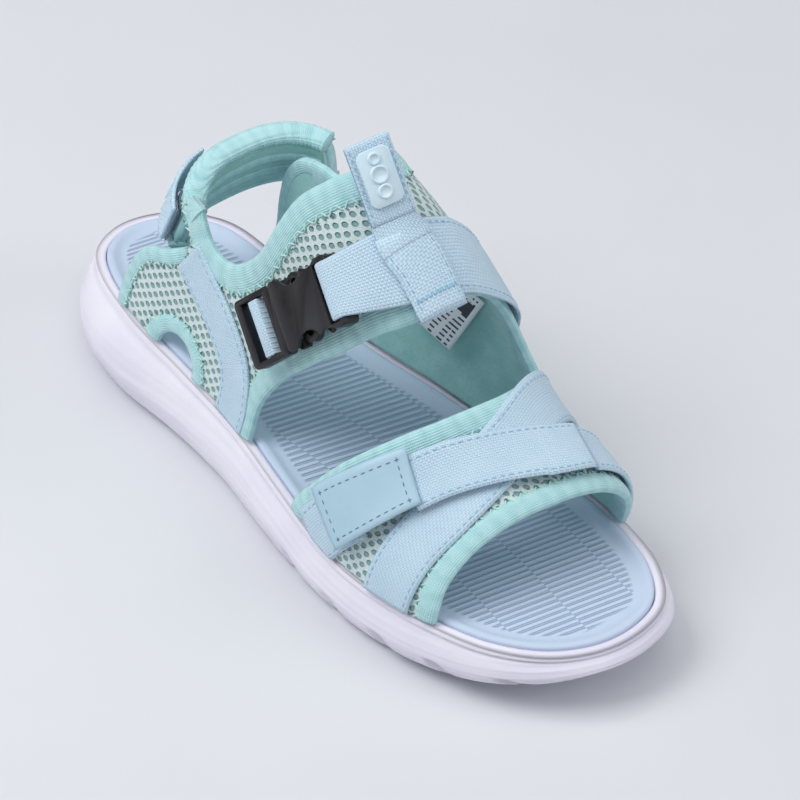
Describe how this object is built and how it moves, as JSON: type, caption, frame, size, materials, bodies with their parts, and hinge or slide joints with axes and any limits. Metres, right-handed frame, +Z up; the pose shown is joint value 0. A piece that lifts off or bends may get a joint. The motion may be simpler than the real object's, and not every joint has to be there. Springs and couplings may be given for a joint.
{
  "type": "sport sandal",
  "caption": "Right-foot strappy sport sandal: padded mesh forefoot and instep straps, padded heel strap, side-release buckle, pull tab and contoured foam sole.",
  "frame": {"origin": "on the ground under the middle of the sole's length, on the flat of the outsole", "axes": "+Y towards the toe, +X towards the outer (buckle) side of the right foot, +Z up"},
  "size_m": [0.1051, 0.2648, 0.1508],
  "materials": {
    "sole_foam": "moulded foam, matt, with sculpted sides",
    "footbed_foam": "moulded foam, matt, with fine ribs",
    "board": "fibre board, matt",
    "lining_knit": "smooth knit",
    "air_mesh": "spacer mesh with oval holes",
    "binding_knit": "knitted tape, rolled over the edge",
    "padding": "padded knit",
    "webbing": "plain weave polyester webbing",
    "hook_and_loop": "hook and loop pile",
    "smooth_synthetic": "smooth coated synthetic, satin",
    "buckle_plastic": "moulded acetal, satin",
    "badge_rubber": "soft moulded rubber, satin",
    "label_satin": "woven satin label"
  },
  "bodies": {
    "sandal": {"unit_sole": "sole_foam", "footbed": "footbed_foam", "lasting_board": "board", "forefoot_lining": "lining_knit", "forefoot_mesh": "air_mesh", "forefoot_rear_binding": "binding_knit", "forefoot_front_binding": "binding_knit", "forefoot_fixed_webbing": "webbing", "forefoot_anchor_webbing": "webbing", "forefoot_loop_tape": "hook_and_loop", "forefoot_closure_root": "webbing", "lateral_quarter_lining": "lining_knit", "lateral_quarter_mesh": "air_mesh", "lateral_collar_binding": "binding_knit", "lateral_heel_binding": "binding_knit", "lateral_front_binding": "binding_knit", "lateral_arch_binding": "binding_knit", "lateral_stay_webbing": "webbing", "medial_quarter_lining": "lining_knit", "medial_quarter_mesh": "air_mesh", "medial_collar_binding": "binding_knit", "medial_heel_binding": "binding_knit", "medial_front_binding": "binding_knit", "medial_arch_binding": "binding_knit", "medial_stay_webbing": "webbing", "instep_webbing": "webbing", "keeper_webbing": "webbing", "buckle_male": "buckle_plastic", "buckle_anchor_webbing": "webbing"},
    "forefoot_flap": {"forefoot_closure_webbing": "webbing", "forefoot_closure_patch": "smooth_synthetic", "forefoot_hook_tape": "hook_and_loop"},
    "heel_strap": {"heel_strap_pad": "padding", "heel_strap_lining": "lining_knit", "heel_strap_top_roll": "binding_knit", "heel_strap_bottom_binding": "binding_knit", "heel_overlay_root": "webbing", "heel_loop_tape": "hook_and_loop"},
    "heel_flap": {"heel_overlay_flap": "webbing", "heel_hook_tape": "hook_and_loop"},
    "socket": {"buckle_socket": "buckle_plastic"},
    "latch_left": {"buckle_latch_left": "buckle_plastic"},
    "latch_right": {"buckle_latch_right": "buckle_plastic"},
    "pull_tab": {"pull_tab": "webbing", "pull_tab_badge": "badge_rubber"},
    "care_label": {"care_label": "label_satin"}
  },
  "joints": [
    {"name": "forefoot_closure_hinge", "type": "hinge", "parent": "sandal", "child": "forefoot_flap", "pos_m": [-0.02641, 0.07795, 0.05984], "axis": [-0.2887, -0.9448, 0.1551], "range_deg": [0, 75]},
    {"name": "heel_strap_tilt", "type": "hinge", "parent": "sandal", "child": "heel_strap", "pos_m": [-0.00983, -0.07156, 0.0771], "axis": [0.9944, -0.0704, -0.079], "range_deg": [-10, 9], "stiffness_Nm_per_rad": 0.3},
    {"name": "heel_overlay_hinge", "type": "hinge", "parent": "heel_strap", "child": "heel_flap", "pos_m": [0.00206, -0.09042, 0.08175], "axis": [0.0397, -0.2324, -0.9718], "range_deg": [0, 60]},
    {"name": "socket_slide", "type": "slide", "parent": "sandal", "child": "socket", "axis": [-0.2415, 0.596, 0.7658], "range_m": [0, 0.014], "deforming": ["instep_webbing"]},
    {"name": "latch_left_bend", "type": "hinge", "parent": "sandal", "child": "latch_left", "pos_m": [0.03303, -0.01451, 0.0903], "axis": [-0.9454, 0.0333, -0.3241], "range_deg": [0, 10], "stiffness_Nm_per_rad": 0.6},
    {"name": "latch_right_bend", "type": "hinge", "parent": "sandal", "child": "latch_right", "pos_m": [0.03617, -0.00296, 0.0823], "axis": [0.9454, -0.0333, 0.3241], "range_deg": [0, 10], "stiffness_Nm_per_rad": 0.6},
    {"name": "pull_tab_bend", "type": "hinge", "parent": "sandal", "child": "pull_tab", "pos_m": [0.00489, 0.00639, 0.12445], "axis": [-0.9198, 0.2895, 0.2647], "range_deg": [-8, 16], "stiffness_Nm_per_rad": 0.03},
    {"name": "label_swing", "type": "hinge", "parent": "sandal", "child": "care_label", "pos_m": [-0.03214, 0.00908, 0.08049], "axis": [0.2288, -0.9062, 0.3555], "range_deg": [0, 25]}
  ]
}
